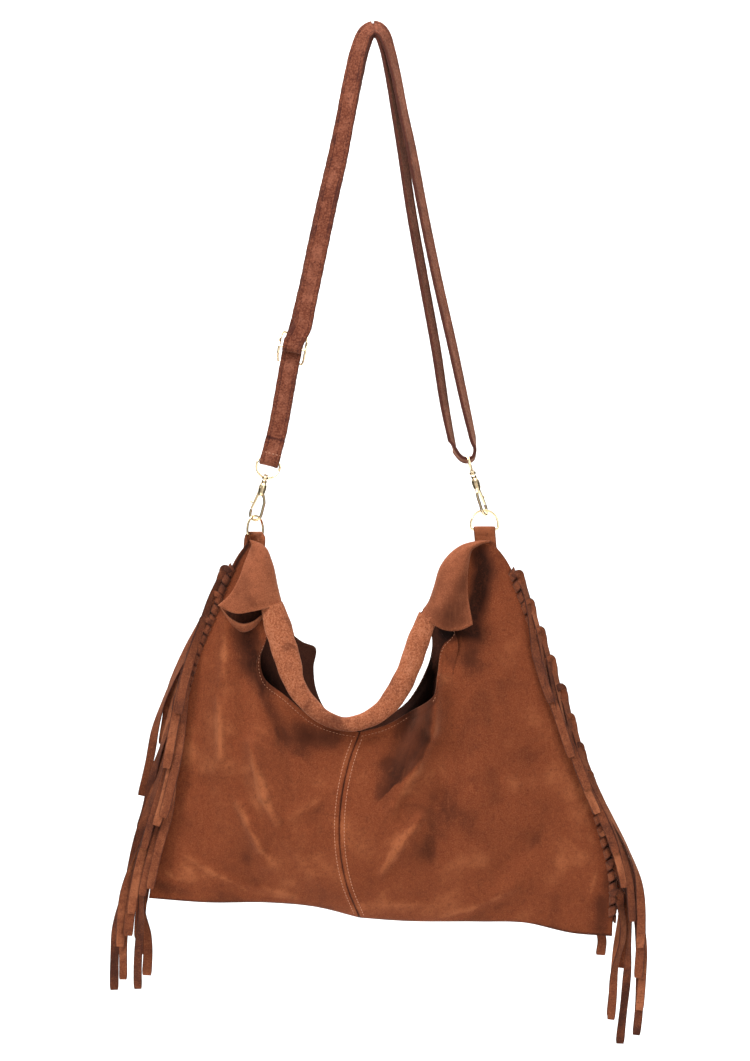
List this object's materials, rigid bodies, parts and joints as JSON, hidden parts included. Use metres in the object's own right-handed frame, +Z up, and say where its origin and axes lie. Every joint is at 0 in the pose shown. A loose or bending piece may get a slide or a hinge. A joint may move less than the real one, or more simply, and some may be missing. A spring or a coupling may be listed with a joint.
{
  "type": "fringed shoulder bag",
  "caption": "Slouchy suede shoulder bag with ears folded over outwards, rolled handles, laced fringe down both sides and an adjustable clip-on strap.",
  "frame": {"origin": "underside of the strap at its highest point, where the bag hangs", "axes": "+Z up, -Y the way the front of the bag faces, +X to the right seen from the front"},
  "size_m": [0.533, 0.0782, 1.0263],
  "materials": {
    "bag_suede": "tan-brown suede with a soft, uneven nap",
    "strap_suede": "darker brown suede strip, fuzzy at its edges",
    "fringe_suede": "brown suede, cut edges darker",
    "pale_gold": "polished pale gold plating"
  },
  "bodies": {
    "bag": {"front_left_panel": "bag_suede", "front_right_panel": "bag_suede", "back_left_panel": "bag_suede", "back_right_panel": "bag_suede", "front_handle": "bag_suede", "back_handle": "bag_suede", "shoulder_strap": "strap_suede", "left_ring_tab": "bag_suede", "right_ring_tab": "bag_suede", "left_side_lacing": "fringe_suede", "right_side_lacing": "fringe_suede", "left_fringe_01": "fringe_suede", "left_fringe_02": "fringe_suede", "left_fringe_03": "fringe_suede", "left_fringe_04": "fringe_suede", "left_fringe_05": "fringe_suede", "left_fringe_06": "fringe_suede", "left_fringe_07": "fringe_suede", "left_fringe_08": "fringe_suede", "left_fringe_09": "fringe_suede", "left_fringe_10": "fringe_suede", "left_fringe_11": "fringe_suede", "left_fringe_12": "fringe_suede", "right_fringe_01": "fringe_suede", "right_fringe_02": "fringe_suede", "right_fringe_03": "fringe_suede", "right_fringe_04": "fringe_suede", "right_fringe_05": "fringe_suede", "right_fringe_06": "fringe_suede", "right_fringe_07": "fringe_suede", "right_fringe_08": "fringe_suede", "right_fringe_09": "fringe_suede", "right_fringe_10": "fringe_suede", "right_fringe_11": "fringe_suede", "right_fringe_12": "fringe_suede"},
    "slide_buckle": {"slide_frame": "pale_gold", "strap_end_loop": "strap_suede"},
    "left_eye": {"left_swivel_eye": "pale_gold"},
    "left_hook": {"left_hook_body": "pale_gold", "left_gate_pin": "pale_gold"},
    "left_gate": {"left_hook_gate": "pale_gold"},
    "left_ring": {"left_d_ring": "pale_gold"},
    "right_eye": {"right_swivel_eye": "pale_gold"},
    "right_hook": {"right_hook_body": "pale_gold", "right_gate_pin": "pale_gold"},
    "right_gate": {"right_hook_gate": "pale_gold"},
    "right_ring": {"right_d_ring": "pale_gold"}
  },
  "joints": [
    {"name": "slide_buckle_travel", "type": "slide", "parent": "bag", "child": "slide_buckle", "axis": [-0.178, 0, -0.984], "range_m": [0, 0.055]},
    {"name": "left_eye_swing", "type": "hinge", "parent": "bag", "child": "left_eye", "pos_m": [-0.1055, 0, -0.4215], "axis": [0.9672, 0, -0.2541], "range_deg": [-1.5, 1.5]},
    {"name": "left_hook_swivel", "type": "hinge", "parent": "left_eye", "child": "left_hook", "pos_m": [-0.10982, 0, -0.43794], "axis": [-0.2541, 0, -0.9672], "range_deg": [-15, 15]},
    {"name": "left_gate_opening", "type": "hinge", "parent": "left_hook", "child": "left_gate", "pos_m": [-0.11357, 0.00042, -0.44781], "axis": [-0.3385, -0.9367, 0.0889], "range_deg": [0, 20], "stiffness_Nm_per_rad": 0.02, "springref_deg": -20.05},
    {"name": "left_ring_tilt", "type": "hinge", "parent": "bag", "child": "left_ring", "pos_m": [-0.11973, 0, -0.49466], "axis": [0.5447, 0.8386, 0], "range_deg": [-2, 2]},
    {"name": "right_eye_swing", "type": "hinge", "parent": "bag", "child": "right_eye", "pos_m": [0.0925, 0, -0.417], "axis": [0, -1, 0], "range_deg": [-0.8, 0.8]},
    {"name": "right_hook_swivel", "type": "hinge", "parent": "right_eye", "child": "right_hook", "pos_m": [0.09764, 0, -0.43321], "axis": [0.3021, 0, -0.9533], "range_deg": [-10, 10]},
    {"name": "right_gate_opening", "type": "hinge", "parent": "right_hook", "child": "right_gate", "pos_m": [0.10129, 0.00109, -0.44306], "axis": [-0.8638, 0.4229, -0.2737], "range_deg": [0, 20], "stiffness_Nm_per_rad": 0.02, "springref_deg": -20.05},
    {"name": "right_ring_tilt", "type": "hinge", "parent": "bag", "child": "right_ring", "pos_m": [0.10942, 0, -0.48938], "axis": [1, 0, 0], "range_deg": [-2, 2]}
  ]
}
